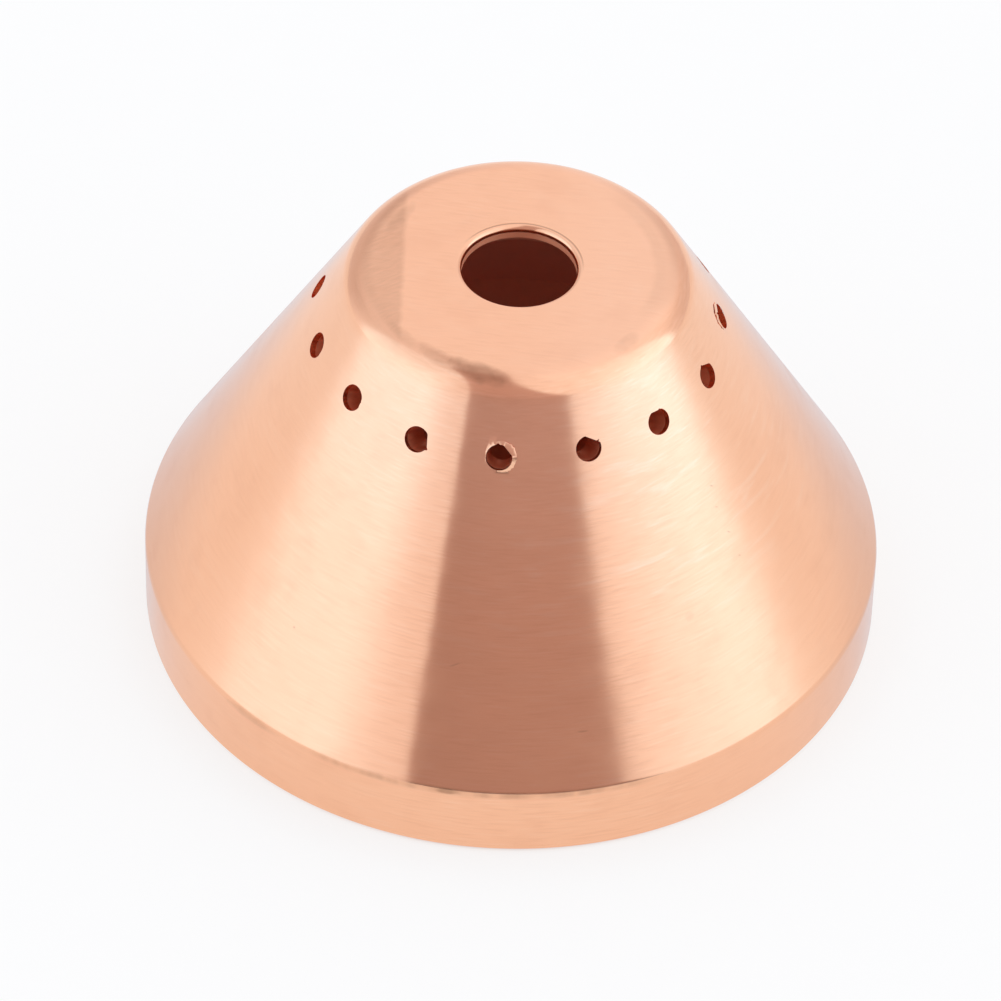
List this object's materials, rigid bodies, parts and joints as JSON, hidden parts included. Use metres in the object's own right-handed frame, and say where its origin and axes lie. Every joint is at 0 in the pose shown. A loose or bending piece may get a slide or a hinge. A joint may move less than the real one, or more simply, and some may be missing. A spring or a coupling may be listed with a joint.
{
  "type": "plasma torch shield cup",
  "caption": "Turned copper shield cup of a plasma cutting torch: a hollow cone with a round orifice in its nose, a ring of cooling vents and a threaded rear bore.",
  "frame": {"origin": "centre of the rear rim's face, which the cup stands on", "axes": "+Z along the cup's axis, from the rear rim to the nose"},
  "size_m": [0.04, 0.04, 0.0238],
  "materials": {
    "copper": "fine turned, bright copper"
  },
  "bodies": {
    "root": {"shield_cup": "copper"}
  },
  "joints": []
}
